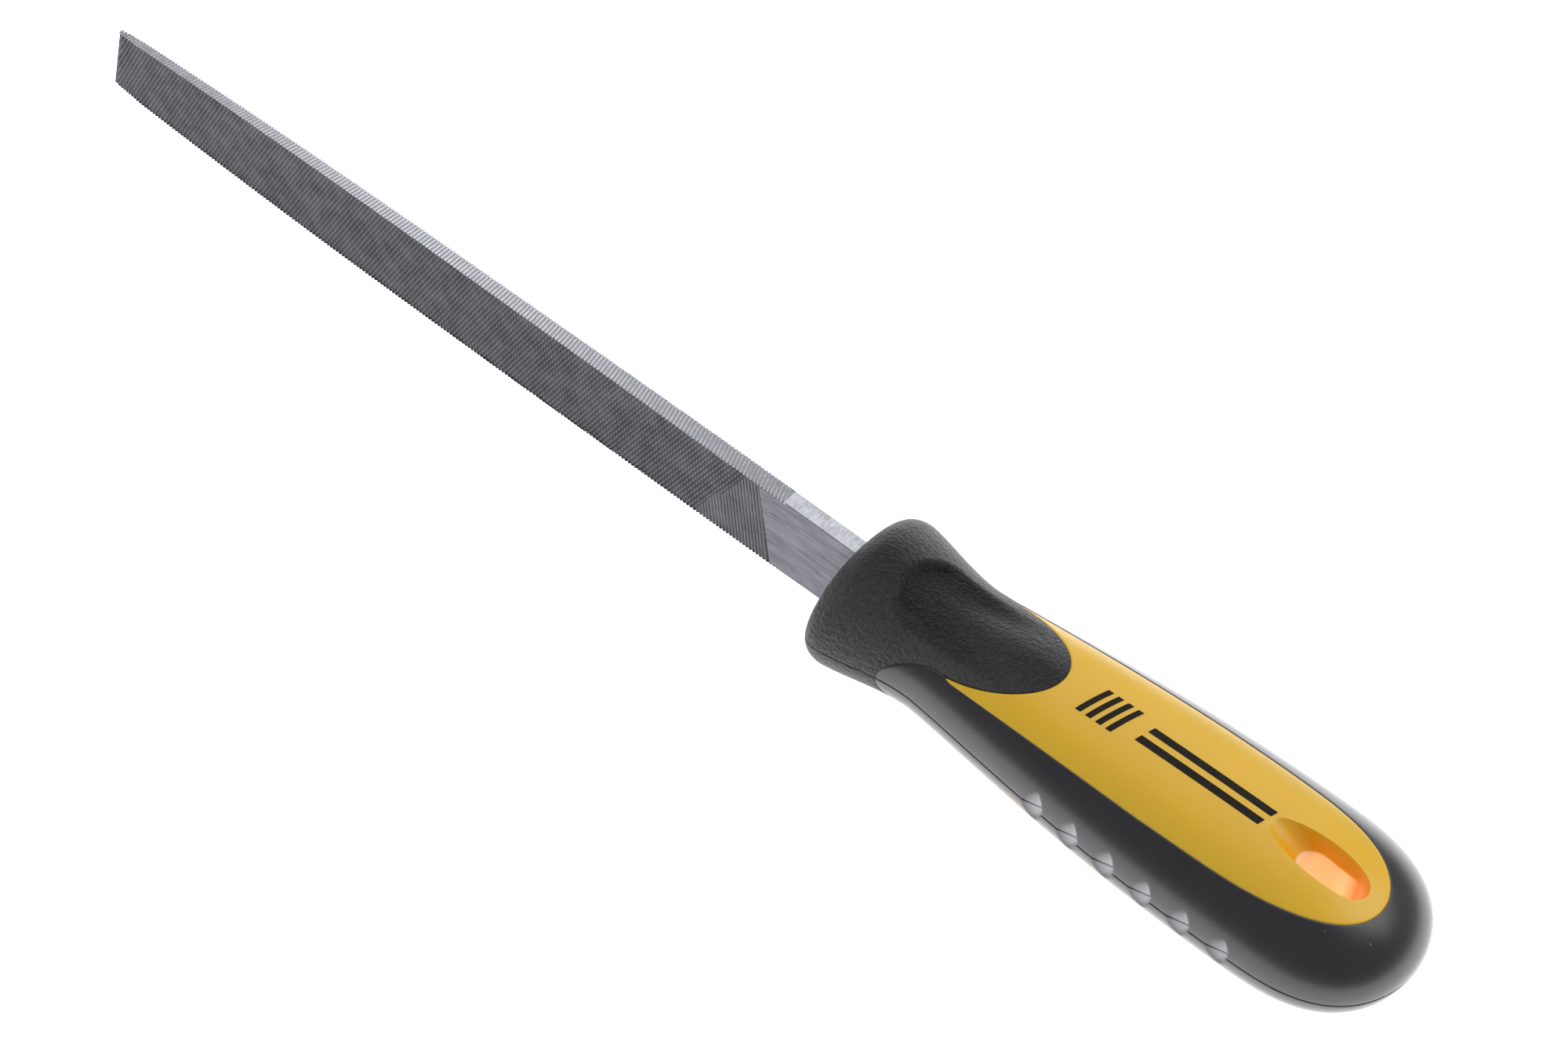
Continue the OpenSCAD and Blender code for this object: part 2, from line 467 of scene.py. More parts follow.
def makeHeelSteel():
    # fine scratches run along the bare heel
    material, bench, (x, y, z) = startMaterial("heelSteel")
    length, width = steelLook["scratch"]
    fine = bench.noise(bench.together(x / length, y * 0.3, z / width), 1.0, 4.0, 0.7)
    broad = bench.noise(bench.together(x, y, z), 0.22, 3.0)
    shade = (fine.between(0.4, 0.58) * 0.75 + broad.between(0.3, 0.7) * 0.25).held()
    finishMaterial(bench, {
        "Base Color": bench.mix(shade, *steelColours("heel", "heel")),
        "Metallic": 1.0,
        "Roughness": steelLook["roughness"]["heel"] + (fine - 0.5) * 0.22,
        "Normal": bench.bump(fine, 0.05 * mm),
    })
    return material


def makeToothSteel():
    # painted shade and highlight: the pits between the teeth darker, the crests lighter
    material, bench, (x, y, z) = startMaterial("cutSteel")
    spot = bench.together(x, y, z)
    height = bench.attribute("crest")
    patchy = bench.noise(spot, 0.35, 4.0).between(0.3, 0.72)
    grain = bench.noise(spot, 9.0, 3.0)
    shade = (height * 0.75 + patchy * 0.25 + (grain - 0.5) * 0.3).held()
    finishMaterial(bench, {
        "Base Color": bench.mix(shade, *steelColours("toothed", "wearAndPaintedLight")),
        "Metallic": 1.0,
        "Roughness": steelLook["roughness"]["toothed"] + (grain - 0.5) * 0.2,
        "Normal": bench.bump(grain, 0.012 * mm),
    })
    return material


def makeEdgeSteel():
    material, bench, (x, y, z) = startMaterial("edgeSteel")
    spot = bench.together(x, y, z)
    grain = bench.noise(bench.together(x / 0.25, y / 1.2, z), 1.0, 4.0)
    patchy = bench.noise(spot, 0.5, 3.0).between(0.25, 0.75)
    shade = (grain.between(0.3, 0.7) * 0.6 + patchy * 0.4).held()
    height = bench.attribute("crest")
    # painted shade: darker in the valleys between the ridges on the cut part of the narrow edges
    valleyShade = (x < blade["edgeCutEnd"]) * (1 - height).held()
    shade = shade * (1 - valleyShade)
    finishMaterial(bench, {
        "Base Color": bench.mix(shade, *steelColours("edge", "edge")),
        "Metallic": 1.0,
        "Roughness": steelLook["roughness"]["edge"] + (grain - 0.5) * 0.2,
        "Normal": bench.bump(grain, 0.01 * mm),
    })
    return material


# the blade and its tang
blade = {
    "widest": 16.3,
    "widestAt": 83,              # back from the mouth
    "heel": 15.3,
    "tip": 12.8,
    "thick": 3.0,
    "tangThick": 2.6,
    "tangFrom": 0.5,             # before the mouth
    "tangLength": 46,
    "tangWide": (9, 4.5),
    "tipSlant": 2.4,
    "flatHeel": 27,
    "corner": 0.16,              # chamfer of the long corners
    "sunk": 0.19,                # the cut faces lie this much under the crests
    "edgeShare": 0.7,            # and the cut edges this share of it
    "cutEnd": (-16.9, -0.234),   # where the first cut ends on a broad face: x, and its slant over z
    "overEnd": (-25.7, 0.54),    # where the second cut ends
    "edgeCutEnd": -14.0,
}

# the half thickness at the tip, and how it grows: start of each stretch from the tip, length and gain
tipHalfThick = 0.3
lastStretch = 96
thickening = (
    (0, 7, 0.42), (7, 41, 0.33), (48, 48, 0.27),
    (lastStretch, bladeLength - lastStretch - blade["flatHeel"], 0.18),
)


def bladeHalfThick(x):
    half = tipHalfThick
    for start, length, gain in thickening:
        half = half + gain * np.clip((x + bladeLength - start) / length, 0, 1)
    return half


def bladeHalfWide(x):
    towardsTip = np.clip((-x - blade["widestAt"]) / (bladeLength - blade["widestAt"]), 0, 1)
    towardsHeel = np.clip((x + blade["widestAt"]) / blade["widestAt"], 0, 1)
    narrowing = (blade["widest"] - blade["tip"]) * towardsTip ** 2.2
    return (blade["widest"] - narrowing - (blade["widest"] - blade["heel"]) * towardsHeel ** 2) / 2


def bladeBody():
    # rings round the blade: up one broad face, over the top edge, down the other and back
    cutX, cutSlant = blade["cutEnd"]
    across = np.linspace(-1, 1, 11)
    corner, sunk = blade["corner"], blade["sunk"]
    faceStep, edgeStep = 0.12, 0.1           # lengths of the steps up from the cut faces to the heel
    leanReach = 6                            # the slants at the cut's end and the tip fade out over this
    xs = stations(
        spread(-bladeLength, cutX - faceStep, 1.0),
        [cutX - faceStep, cutX, blade["edgeCutEnd"] - edgeStep, blade["edgeCutEnd"]],
        spread(cutX + 1, -blade["tangFrom"], 0.9),
    )
    rings = []
    for x in xs:
        wide, thick = bladeHalfWide(x), bladeHalfThick(x)
        edgeSunk = sunk * blade["edgeShare"] if x < blade["edgeCutEnd"] - edgeStep / 2 else 0
        faceSunk = sunk if x < cutX - faceStep / 2 else 0
        nearCut = max(0, 1 - abs(x - cutX + faceStep / 2) / leanReach)
        nearTip = max(0, 1 - (x + bladeLength) / leanReach)
        ring = []
        for side in (-1, 1):
            for share in across * -side:
                z = share * (wide - edgeSunk)
                if abs(share) == 1:
                    z = share * (wide - edgeSunk - corner)
                lean = nearCut * cutSlant * z + nearTip * blade["tipSlant"] * (z / wide + 1) / 2
                ring.append((x + lean, side * (thick - faceSunk), z))
            shoulder = -side * (wide - edgeSunk)
            inward = side * max(thick - corner, thick * 0.5)
            lean = nearTip * blade["tipSlant"] * (shoulder / wide + 1) / 2
            ring.append((x + lean, inward, shoulder))
            ring.append((x + lean, -inward, shoulder))
        rings.append(ring)
    tangStart, tangEnd = blade["tangWide"]
    endX = handleForm["frontWall"] + blade["tangLength"]
    tang = [
        (-blade["tangFrom"], blade["heel"] / 2), (handleForm["frontWall"], blade["heel"] / 2),
        (handleForm["frontWall"] + 0.01, tangStart / 2), (endX, tangEnd / 2),
    ]
    for x, half in tang:
        scaleZ = half / (blade["heel"] / 2)
        scaleY = blade["tangThick"] / blade["thick"]
        rings.append([(x, y * scaleY, z * scaleZ) for _, y, z in rings[len(xs) - 1]])
    body = loftSolid("fileBlade", rings, 30)
    for name, values in (("halfWide", bladeHalfWide), ("halfThick", bladeHalfThick)):
        writeValues(body, name, values(np.minimum(pointsOf(body)[0], 0)) * mm)
    return body


# two cuts that cross on the broad faces, and one across the narrow edges
teeth = {
    "firstPitch": 0.64,          # between the lines of the first cut
    "firstAngle": 101,           # of those lines, from the blade's axis
    "overPitch": 0.65,
    "overAngle": 62,
    "edgePitch": 0.653,
    "edgeSlant": (-87, -0.307),  # square to the edge here, and degrees of slant for each millimetre on
    "depth": 0.2,
    "edgeDepth": 0.66,           # share of it for the ridges on the narrow edges
    "tall": 0.22,                # random share of a tooth's height
    "seed": 7,
}


def toothShape(name, ridge, along, across):
    # one tooth in its own axes: along crosses the first cut, across follows it, and y is its height
    a, b = np.array(along), np.array(across)
    wide, crest = (0.5, 0.5) if ridge else (0.43, 0.2)    # a ridge has no gaps to its neighbours
    spots = [
        (-0.44, -wide, -0.25), (0.4, -wide, -0.25), (0.4, wide, -0.25), (-0.44, wide, -0.25),
        (-0.26, -crest, 1), (-0.26, crest, 1), (-0.04, -crest, 0.74), (-0.04, crest, 0.74),
    ]
    faces = [(0, 1, 2, 3), (0, 3, 5, 4), (4, 5, 7, 6), (6, 7, 2, 1), (0, 4, 6, 1), (3, 2, 7, 5)]
    form = bmesh.new()
    corners = [form.verts.new((u * a + v * b + (0, h * teeth["depth"], 0)) * mm) for u, v, h in spots]
    for face in faces:
        form.faces.new([corners[i] for i in face])
    shape = bmeshPiece(name, form, 60)
    writeValues(shape, "crest", [max(0.0, h) for _, _, h in spots])
    return shape


def edgeToothShape(name):
    # one ridge across a narrow edge, one metre long so that it can be scaled to the edge
    profile = ((-0.42, -0.3), (-0.2, 1.0), (0.0, 0.9), (0.36, -0.3))
    pitch, depth = teeth["edgePitch"] * mm, teeth["depth"] * teeth["edgeDepth"] * mm
    form = bmesh.new()
    near, far = ([form.verts.new((u * pitch, y, h * depth)) for u, h in profile] for y in (-0.5, 0.5))
    for i in range(4):
        j = (i + 1) % 4
        form.faces.new([near[i], near[j], far[j], far[i]])
    form.faces.new(near)
    form.faces.new(list(reversed(far)))
    shape = bmeshPiece(name, form, 60)
    writeValues(shape, "crest", [max(0.0, h) for _, h in profile * 2])
    return shape


def modifierTree(name, entries):
    tree = bpy.data.node_groups.new(name, "GeometryNodeTree")
    for kind, names in {"Geometry": ["Geometry"], **entries}.items():
        for entry in names:
            tree.interface.new_socket(entry, in_out="INPUT", socket_type="NodeSocket" + kind)
    tree.interface.new_socket("Geometry", in_out="OUTPUT", socket_type="NodeSocketGeometry")
    inputs = tree.nodes.new("NodeGroupInput")
    return tree, Bench(tree), {socket.name: Wire(tree, socket) for socket in inputs.outputs if socket.name}


def setInputs(modifier, values):
    for item in modifier.node_group.interface.items_tree:
        if item.item_type == "SOCKET" and item.in_out == "INPUT" and item.name in values:
            modifier[item.identifier] = values[item.name]


def nearestOn(bench, body, name):
    # a value of the body, read at the nearest point of its surface
    value = bench.make("GeometryNodeInputNamedAttribute", {"data_type": "FLOAT"}, {"Name": name})
    inputs = {"Mesh": body, "Value": value}
    return bench.make("GeometryNodeSampleNearestSurface", {"data_type": "FLOAT"}, inputs)


def teethTree():
    tree, bench, given = modifierTree("fileTeeth", {
        "Float": [
            "First angle", "First pitch", "Over angle", "Over pitch", "Edge pitch",
            "Sunk", "Height spread", "Tip", "Mouth", "Middle",
        ],
        "Int": ["Rows", "Columns", "Edge count", "Seed"],
        "Object": ["Tooth", "Ridge", "Edge tooth"],
        "Material": ["Face metal", "Edge metal"],
    })
    body = given["Geometry"]
    px, py, pz = bench.apart(bench.make("GeometryNodeInputPosition"))
    alongX = (px - given["Mouth"]) / mm
    upZ = (pz - given["Middle"]) / mm

    def tipAt(z):
        # x of the slanted tip at height z
        return given["Tip"] + (z / (blade["tip"] / 2) + 1.0) * (blade["tipSlant"] / 2)

    def copies(points, entry, scale, picked=None, turn=None):
        source = {"Object": given[entry], "As Instance": True}
        shape = bench.make("GeometryNodeObjectInfo", None, source, "Geometry")
        return bench.make("GeometryNodeInstanceOnPoints", None, {
            "Points": points, "Selection": picked, "Instance": shape, "Rotation": turn, "Scale": scale,
        })

    # steps of the lattice: from one first-cut line to the next along an over-cut line, and the reverse
    first, over = given["First angle"], given["Over angle"]
    crossing = (first - over).math("SINE", first - over)
    stepA = given["First pitch"] / crossing
    stepB = given["Over pitch"] / crossing
    ax, az = stepA * over.math("COSINE", over), stepA * over.math("SINE", over)
    bx, bz = stepB * first.math("COSINE", first), stepB * first.math("SINE", first)
    grid = bench.make("GeometryNodeMeshGrid", None, {
        "Size X": given["Columns"] - 1.0, "Size Y": given["Rows"] - 1.0,
        "Vertices X": given["Columns"], "Vertices Y": given["Rows"],
    })
    # each line of the grid is shifted back by whole steps, so that the lattice stays on the blade
    across = py - round(px * (az / bz))
    latticeX = px * ax + across * bx + given["Tip"] * 0.5
    latticeZ = px * az + across * bz
    spot = bench.together(latticeX * mm + given["Mouth"], 0.0, latticeZ * mm + given["Middle"])
    laid = bench.move(grid, "Position", spot)

    # points past the edges, the tip or the end of the first cut go
    cutX, cutSlant = blade["cutEnd"]
    outside = abs(pz - given["Middle"]) > nearestOn(bench, body, "halfWide") + 0.35 * mm
    outside = outside + (alongX > upZ * cutSlant + (cutX - 0.2)) + (alongX < tipAt(upZ) + 0.3)
    kept = bench.make("GeometryNodeDeleteGeometry", {"domain": "POINT", "mode": "ALL"}, {
        "Geometry": laid, "Selection": outside > 0.5,
    })
    # the half thickness is kept on each point before the points are lifted to a face
    stored = bench.make("GeometryNodeStoreNamedAttribute", {"data_type": "FLOAT", "domain": "POINT"}, {
        "Geometry": kept, "Name": "faceAt", "Value": nearestOn(bench, body, "halfThick"),
    })
    faceAt = bench.make("GeometryNodeInputNamedAttribute", {"data_type": "FLOAT"}, {"Name": "faceAt"})
    overX, overSlant = blade["overEnd"]
    isRidge = alongX > upZ * overSlant + overX

    def toothField(side, seedStep):
        lift = bench.together(0.0, (faceAt - given["Sunk"] * mm) * side, 0.0)
        lifted = bench.move(stored, "Offset", lift)
        random = bench.make("FunctionNodeRandomValue", {"data_type": "FLOAT"}, {
            2: 1.0 - given["Height spread"], 3: 1.0, "Seed": given["Seed"] + seedStep,
        }, 1)
        size = bench.together(1.0, random * side, 1.0)
        return bench.join([
            copies(lifted, "Tooth", size, isRidge < 0.5),
            copies(lifted, "Ridge", size, isRidge > 0.5),
        ])

    faces = bench.join([toothField(-1.0, 0), toothField(1.0, 50)])
    real = bench.make("GeometryNodeRealizeInstances", None, {0: faces})
    # teeth past the long edges and the tip are cut off where the blade ends
    reach = nearestOn(bench, body, "halfWide") - given["Sunk"] * (blade["edgeShare"] * mm) - 0.02 * mm
    heldZ = (pz - given["Middle"]).atLeast(-reach).atMost(reach)
    heldX = px.atLeast(tipAt(heldZ / mm) * mm + given["Mouth"])
    trimmed = bench.move(real, "Position", bench.together(heldX, py, heldZ + given["Middle"]))
    faceTeeth = bench.finish(trimmed, given["Face metal"])

    # ridges across the two narrow edges
    halfThick = nearestOn(bench, body, "halfThick")
    squareAt, slantRate = teeth["edgeSlant"]
    turn = bench.together(0.0, 0.0, (alongX - squareAt) * slantRate * radians(-1))
    lineX = blade["edgeCutEnd"] - 0.4 - bench.make("GeometryNodeInputIndex") * given["Edge pitch"]
    sides = []
    for side in (-1.0, 1.0):
        line = bench.make("GeometryNodeMeshLine", {"mode": "OFFSET"}, {
            "Count": given["Edge count"], "Offset": (0.0, 0.0, 0.0),
        })
        start = bench.together(lineX * mm + given["Mouth"], 0.0, given["Middle"])
        step = (nearestOn(bench, body, "halfWide") - given["Sunk"] * mm * blade["edgeShare"]) * side
        raised = bench.move(bench.move(line, "Position", start), "Offset", bench.together(0.0, 0.0, step))
        size = bench.together(1.0, halfThick * 2.3, side)
        sides.append(copies(raised, "Edge tooth", size, None, turn))
    edgeReal = bench.make("GeometryNodeRealizeInstances", None, {0: bench.join(sides)})
    heldY = py.atLeast(-halfThick).atMost(halfThick)
    heldX = px.atLeast((tipAt(upZ) + 0.05) * mm + given["Mouth"])
    edgeTrimmed = bench.move(edgeReal, "Position", bench.together(heldX, heldY, pz))
    edgeTeeth = bench.finish(edgeTrimmed, given["Edge metal"])

    output = tree.nodes.new("NodeGroupOutput")
    plug(tree, output.inputs[0], bench.join([edgeTeeth, faceTeeth, body]))
    return tree


def makeBlade():
    body = bladeBody()
    heelSteel, cutSteel, edgeSteel = makeHeelSteel(), makeToothSteel(), makeEdgeSteel()
    for metal in (heelSteel, cutSteel, edgeSteel):
        body.data.materials.append(metal)
    cutX, cutSlant = blade["cutEnd"]
    # the narrow faces take the paler edge steel, a painted highlight
    for face in body.data.polygons:
        centre = face.center / mm - Vector(shift) / mm
        narrow = abs(face.normal.z) > 0.6
        cut = centre.x < cutX + cutSlant * centre.z
        face.material_index = 2 if narrow else 1 if cut else 0
    over, first = radians(teeth["overAngle"]), radians(teeth["firstAngle"])
    crossing = sin(first - over)
    along = Vector((cos(over), 0, sin(over))) * teeth["firstPitch"] / crossing
    across = Vector((cos(first), 0, sin(first))) * teeth["overPitch"] / crossing
    tooth = toothShape("toothShape", False, along, across)
    ridge = toothShape("ridgeShape", True, along, across)
    edgeTooth = edgeToothShape("edgeToothShape")
    modifier = body.modifiers.new("teeth", "NODES")
    modifier.node_group = teethTree()
    setInputs(modifier, {
        "First angle": first, "First pitch": teeth["firstPitch"],
        "Over angle": over, "Over pitch": teeth["overPitch"],
        "Rows": 21, "Columns": int(bladeLength / 0.62), "Edge pitch": teeth["edgePitch"],
        "Edge count": int((bladeLength + blade["edgeCutEnd"] - 0.4) / teeth["edgePitch"]),
        "Sunk": blade["sunk"], "Seed": teeth["seed"], "Height spread": teeth["tall"],
        "Tip": -bladeLength, "Mouth": mouthX, "Middle": middleZ,
        "Tooth": tooth, "Ridge": ridge, "Edge tooth": edgeTooth,
        "Face metal": cutSteel, "Edge metal": edgeSteel,
    })
    applyModifiers(body)
    for shape in (tooth, ridge, edgeTooth):
        bpy.data.objects.remove(shape)
    return body


# finishes of the two black rubbers
rubberLook = {
    "grip": (24, 22, 28),
    "cloud": (32, 30, 36),       # paler patches on it
    "wearAndPaintedLight": (176, 176, 184),     # painted highlight in the notches
    "collar": (31, 30, 33),
    "gripRoughness": 0.3,
    "collarRoughness": 0.36,
    "grainSize": 0.68,           # wrinkles of the collar's skin
    "grainDepth": 1.1,
}


def makeGripRubber():
    material, bench, (x, y, z) = startMaterial("gripRubber")
    spot = bench.together(x, y, z)
    cloud = bench.noise(spot, 0.12, 4.0).between(0.3, 0.7)
    fine = bench.noise(spot, 3.0, 5.0, 0.65)
    specks = dust(bench, spot)
    base = bench.mix(cloud * 0.5, colour(*rubberLook["grip"]), colour(*rubberLook["cloud"]))
    # painted highlight: paler the deeper the notch cuts
    notchHighlight = bench.attribute("notch").between(0.1, 0.9)
    base = bench.mix(notchHighlight * 0.85, base, colour(*rubberLook["wearAndPaintedLight"]))
    finishMaterial(bench, {
        "Base Color": bench.mix(specks * 0.7, base, colour(190, 190, 190)),
        "Roughness": rubberLook["gripRoughness"] + (fine - 0.5) * 0.16 + cloud * 0.05,
        "Specular IOR Level": 0.6,
        "Sheen Weight": 0.4,
        "Sheen Roughness": 0.28,
        "Sheen Tint": (0.86, 0.9, 1.0, 1.0),
        "Coat Weight": 0.35,
        "Coat Roughness": 0.25,
        "Normal": bench.bump(fine, 0.015 * mm),
    })
    return material


def makeCollarRubber():
    # fine leather-like wrinkles: stretched cells with soft creases between them
    material, bench, (x, y, z) = startMaterial("collarRubber")
    spot = bench.together(x, y, z)
    wander = bench.make("ShaderNodeTexNoise", None, {"Vector": spot, "Scale": 1.3, "Detail": 2.0}, "Color")
    bent = bench.make("ShaderNodeVectorMath", {"operation": "MULTIPLY_ADD"}, {
        0: wander, 1: (0.9, 0.9, 0.9), 2: spot,
    })
    size = rubberLook["grainSize"]
    cells = bench.make("ShaderNodeTexVoronoi", {"feature": "SMOOTH_F1"}, {
        "Vector": bent, "Scale": 1 / size, "Smoothness": 0.35,
    }, "Distance")
    wrinkles = bench.noise(bent, 2.1 / size, 3.0, 0.6)
    height = cells.between(0.1, 0.75) * -0.5 + wrinkles.between(0.25, 0.75) * 0.6
    specks = dust(bench, spot, 0.8, 0.12)
    # painted shade: the colour follows the wrinkles' height, darker in the creases between the cells
    shade = (wrinkles.between(0.35, 0.65) * 0.8 - cells.between(0.3, 0.8) * 0.3 + 0.2).held()
    base = bench.mix(shade, colour(*rubberLook["collar"], 0.4), colour(*rubberLook["collar"], 1.6))
    finishMaterial(bench, {
        "Base Color": bench.mix(specks * 0.6, base, colour(180, 180, 180)),
        "Roughness": rubberLook["collarRoughness"] + (wrinkles - 0.5) * 0.2,
        "Specular IOR Level": 0.55,
        "Sheen Weight": 0.14,
        "Sheen Roughness": 0.25,
        "Normal": bench.bump(height, rubberLook["grainDepth"] * mm),
    })
    return material


# the collar: guard, thumb pads and their dishes
collar = {
    "slotHalf": (1.6, 7.85),     # opening round the blade
    "dishDeep": 1.5,
    "dishFrom": 7.3,
    "dishStep": 1.5,             # length of its steep front
    "dishLength": 24,
    "dishHalf": 6.9,
    "lip": 0.22,                 # rounded edge against the window and the grip
}


def thumbDish(x, y):
    front = collar["dishFrom"] + 0.09 * y ** 2
    steep = ease((x - front) / collar["dishStep"])
    rise = 1 - ease((x - front - collar["dishStep"] * 0.5) / collar["dishLength"])
    sides = ease((collar["dishHalf"] - np.abs(y)) / 2.6)
    return collar["dishDeep"] * steep * rise * sides


def fromEdge(x, y, outline):
    # rough distance in plan from a point to the outline of half width outline(x)
    return np.abs(outline(x) - np.abs(y)) / np.sqrt(1 + slopeOf(outline, x) ** 2)


def partingGroove(angle, x):
    width, depth = handleForm["parting"]
    aside = np.abs(np.sin(angle)) * halfSize(x, 1)
    return depth * np.clip(1 - aside / width, 0, 1)


def sideShares(count):
    # from -1 to 1, close together at the parting line in the middle and at both edges
    close = 0.012
    half = ease(np.linspace(0, 1, count)) * 0.35 + np.linspace(0, 1, count) * 0.65
    half = stations(half, [close, close * 2, 1 - close, 1 - close * 2])
    return np.concatenate([-half[:0:-1], half])


def makeCollar():
    form = handleForm
    xs = stations(
        form["frontLength"] * (1 - np.cos(np.linspace(0, np.pi / 2, 14))),
        spread(form["frontLength"], gripFrom, 0.34),
        spread(gripFrom, gripFrom + 1.5, 0.14),
        spread(gripFrom + 1.5, 31, 0.36),
        closingStations(31, form["padTo"], 26),
    )
    shares = sideShares(66)
    steps = (0.02, 0.2, 0.4, 0.6, 0.8, 0.93)     # rows of the front face, from the opening outwards
    sheets = []
    for face in (1, -1):
        x = xs[:, None]
        padShare = np.clip(padHalf(x) / np.maximum(halfSize(x, 0), 0.1), 0, 1)
        lowest = np.where(x > gripFrom, np.arccos(padShare), 0)
        angle = np.pi / 2 - shares[None, :] * (np.pi / 2 - lowest)
        outer = onSkin(x, angle)
        y = outer[..., 1]
        sink = partingGroove(angle, x) + thumbDish(x, y)
        rim = np.clip(1 - fromEdge(x, y, padHalf) / collar["lip"], 0, 1) ** 2 * 0.14
        sink = sink + np.where(x > gripFrom, rim, 0)
        outer = outer - skinNormal(x, angle) * sink[..., None]
        inner = onSkin(np.maximum(x, form["frontWall"]), angle, form["skin"])
        # the front face and the walls of the blade's opening, in rows before the first ring
        ringY, ringZ = np.cos(angle[0]), np.sin(angle[0])
        slotY, slotZ = collar["slotHalf"]
        toSide = slotY / np.maximum(np.abs(ringY), 1e-6)
        toTop = slotZ / np.maximum(np.abs(ringZ), 1e-6)
        reach = np.minimum(toSide, toTop)
        slot = np.stack([0 * ringY, ringY * reach, ringZ * reach], -1)
        deep = slot + [form["frontWall"], 0, 0]
        rows = [deep, slot + [0.25, 0, 0]] + [slot * (1 - t) + outer[0] * t for t in steps]
        backRows = [deep, deep] + [deep * (1 - t) + inner[0] * t for t in steps]
        outer = np.concatenate([np.stack(rows), outer])
        inner = np.concatenate([np.stack(backRows), inner])
        outer[..., 2] *= face
        inner[..., 2] *= face
        sheets.append((outer, inner))
    return closedShell("thumbCollar", sheets)


# the soft grip, with a row of notches along each side
grip = {
    "notchCount": 6,
    "notchPitch": 6.62,
    "notchFirst": 44.7,          # butt side of the first notch
    "notchRadius": 3.5,
    "notchSlope": 14,
    "wallSoftness": 0.45,
}


def notchDepth(x, z):
    # how far the notches cut into the side; each floor slopes down to a rounded wall
    depth = 0 * x + 0 * z
    for i in range(grip["notchCount"]):
        middle = grip["notchFirst"] + i * grip["notchPitch"] - grip["notchRadius"]
        surface = halfSize(x, 0) * np.sqrt(np.clip(1 - (z / np.maximum(halfSize(x, 1), 0.01)) ** 2, 0, 1))
        floor = halfSize(np.float64(middle), 0) - tan(radians(grip["notchSlope"])) * (x - middle)
        away = np.sqrt((x - middle) ** 2 + z ** 2)
        inside = ease((grip["notchRadius"] - away) / grip["wallSoftness"] + 0.5)
        depth = np.maximum(depth, np.clip(surface - floor, 0, None) * inside)
    return depth


def makeGrip():
    form = handleForm
    firstNotch = grip["notchFirst"] - 2 * grip["notchRadius"]
    lastNotch = grip["notchFirst"] + (grip["notchCount"] - 1) * grip["notchPitch"]
    xs = stations(
        gripFrom + np.array((0.02, 0.1, 0.25, 0.45)),
        spread(gripFrom + 0.7, firstNotch, 0.55),
        spread(firstNotch, lastNotch + 0.6, 0.24),
        spread(lastNotch + 0.6, 86, 0.5),
        closingStations(86, form["windowTo"], 22),
        closingStations(form["windowTo"], handleLength, 24),
    )
    shares = sideShares(36)
    sheets = []
    for side in (1, -1):
        x = xs[:, None]
        edge = np.clip(gripEdge(x) / np.maximum(halfSize(x, 0), 0.05), 0, 1)
        highest = np.where(x < form["windowTo"], np.arccos(edge), np.pi / 2)
        angle = shares[None, :] * highest
        outer = onSkin(x, angle)
        sink = partingGroove(angle, x) * np.clip((handleLength - x) / 0.5, 0, 1)
        rim = np.clip(1 - fromEdge(x, outer[..., 1], gripEdge) / 0.2, 0, 1) ** 2 * 0.1
        sink = sink + np.where(x < form["windowTo"] - 0.1, rim, 0)
        outer = outer - skinNormal(x, angle) * sink[..., None]
        outer[..., 1] -= notchDepth(x + 0 * angle, outer[..., 2])
        inner = onSkin(np.minimum(x, handleLength - form["skin"]), angle, form["skin"])
        outer[..., 1] *= side
        inner[..., 1] *= side
        sheets.append((outer, inner))
    piece = closedShell("softGrip", sheets)
    x, y, z = pointsOf(piece)
    writeValues(piece, "notch", notchDepth(x, z))
    return piece


# the hard core, its windows and the hanging hole
core = {
    "sunk": 0.05,                # the window lies this much under the grip
    "rimSunk": 0.16,             # and this much more along its edge
    "rimWide": 0.3,
    "slotAt": 83,
    "slotWide": 5.2,
    "slotLong": 10.2,
    "dishWide": 6.6,
    "dishReach": 10.4,
    "dishDeep": 3,
    "tangGap": 0.05,
}

coreLook = {
    "face": (246, 193, 38),
    # painted shade: darker towards the window's long edges, where it curves away
    "edge": (224, 182, 44),
    # painted shade: a deeper orange down in the dish round the hole
    "deep": (250, 180, 10),
    # painted light: the hole's throat is made near white and, with the glow, shines
    "throat": (255, 224, 184),
    "glow": (250, 200, 150),     # light that comes through the plastic round the hole
    "roughness": 0.36,
}


def windowSheets():
    # the window in two halves: from the pad (or the middle) out to the grip
    form = handleForm
    xs = stations(
        form["windowFrom"] + np.array((0, 0.08, 0.25, 0.5, 0.8)),
        spread(form["windowFrom"] + 1.2, 33, 0.5),
        closingStations(33, form["padTo"], 18),
        spread(form["padTo"], 85, 0.6),
        closingStations(85, form["windowTo"], 26),
    )
    across = stations(ease(np.linspace(0, 1, 30)), [0.01, 0.02, 0.98, 0.99])
    x = xs[:, None]
    low = np.where(x < form["padTo"], padHalf(x), 0)
    tipRound = np.sqrt(np.clip((x - form["windowFrom"]) / 1.3, 0, 1))
    high = low + np.clip(windowHalf(x) - low, 0, None) * tipRound
    y = low + (high - low) * across[None, :]
    share = np.clip(y / np.maximum(halfSize(x, 0), 0.1), 0, 1)
    rim = np.clip(1 - fromEdge(x, y, windowHalf) / core["rimWide"], 0, 1) ** 2
    padRim = np.clip(1 - fromEdge(x, y, padHalf) / core["rimWide"], 0, 1) ** 2
    padRim = np.where(x < form["padTo"] + core["rimWide"], padRim, 0)
    z = halfSize(x, 1) * np.sqrt(1 - share ** 2) - core["sunk"] - core["rimSunk"] * np.maximum(rim, padRim)
    sheets = []
    for side in (1, -1):
        top = np.stack([x + 0 * y, y * side, z], -1)
        bottom = np.stack([x + 0 * y, y * side, -z], -1)
        sheets.append((top, bottom))
    return sheets


